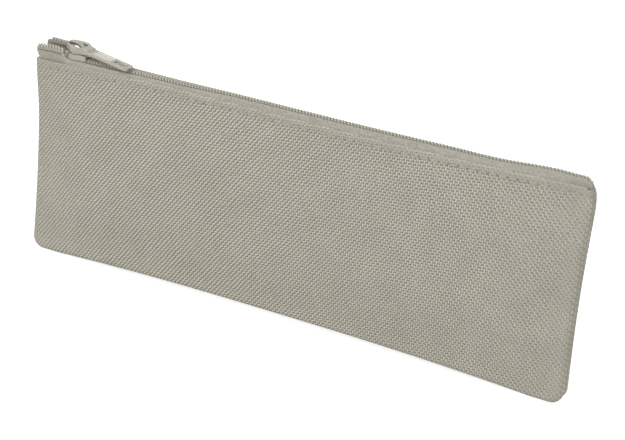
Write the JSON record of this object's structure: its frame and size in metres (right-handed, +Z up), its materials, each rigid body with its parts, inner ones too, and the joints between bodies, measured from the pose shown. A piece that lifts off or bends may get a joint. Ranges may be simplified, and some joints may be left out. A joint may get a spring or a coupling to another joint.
{
  "type": "flat zipped pencil case",
  "caption": "Flat cloth pencil case with a coil zip along the top, a sliding zip slider with a hinged metal pull, hemmed and topstitched edges and bound inside seams.",
  "frame": {"origin": "on the floor under the middle of the case, which stands on its bottom seam", "axes": "+X along the zip towards its closed end, +Y towards the back panel, +Z up"},
  "size_m": [0.221, 0.0136, 0.0864],
  "materials": {
    "panel_cloth": "plain-woven coated polyester, warm grey",
    "zip_tape": "woven polyester tape, warm grey",
    "zip_coil": "dyed nylon coil",
    "thread": "spun polyester thread",
    "slider_metal": "die-cast zinc, satin nickel plate",
    "binding_cloth": "woven binding tape, warm grey"
  },
  "bodies": {
    "case": {"front_panel": "panel_cloth", "back_panel": "panel_cloth", "zip_tape_front": "zip_tape", "zip_tape_back": "zip_tape", "zip_coil_front": "zip_coil", "zip_coil_back": "zip_coil", "coil_thread_front": "thread", "coil_thread_back": "thread", "topstitch_front": "thread", "topstitch_back": "thread", "seam_thread_left": "thread", "seam_thread_bottom": "thread", "seam_thread_right": "thread", "binding_left": "binding_cloth", "binding_bottom": "binding_cloth", "binding_right": "binding_cloth", "binding_thread_left": "thread", "binding_thread_bottom": "thread", "binding_thread_right": "thread"},
    "slider": {"slider_body": "slider_metal"},
    "pull": {"slider_pull": "slider_metal"}
  },
  "joints": [
    {"name": "slider_travel", "type": "slide", "parent": "case", "child": "slider", "axis": [1, 0, 0], "range_m": [0, 0.179], "deforming": ["zip_tape_front", "zip_tape_back", "zip_coil_front", "zip_coil_back", "coil_thread_front", "coil_thread_back"]},
    {"name": "pull_flip", "type": "hinge", "parent": "slider", "child": "pull", "pos_m": [-0.0953, 0, 0.08485], "axis": [-0.0872, -0.9962, 0], "range_deg": [0, 175]}
  ]
}
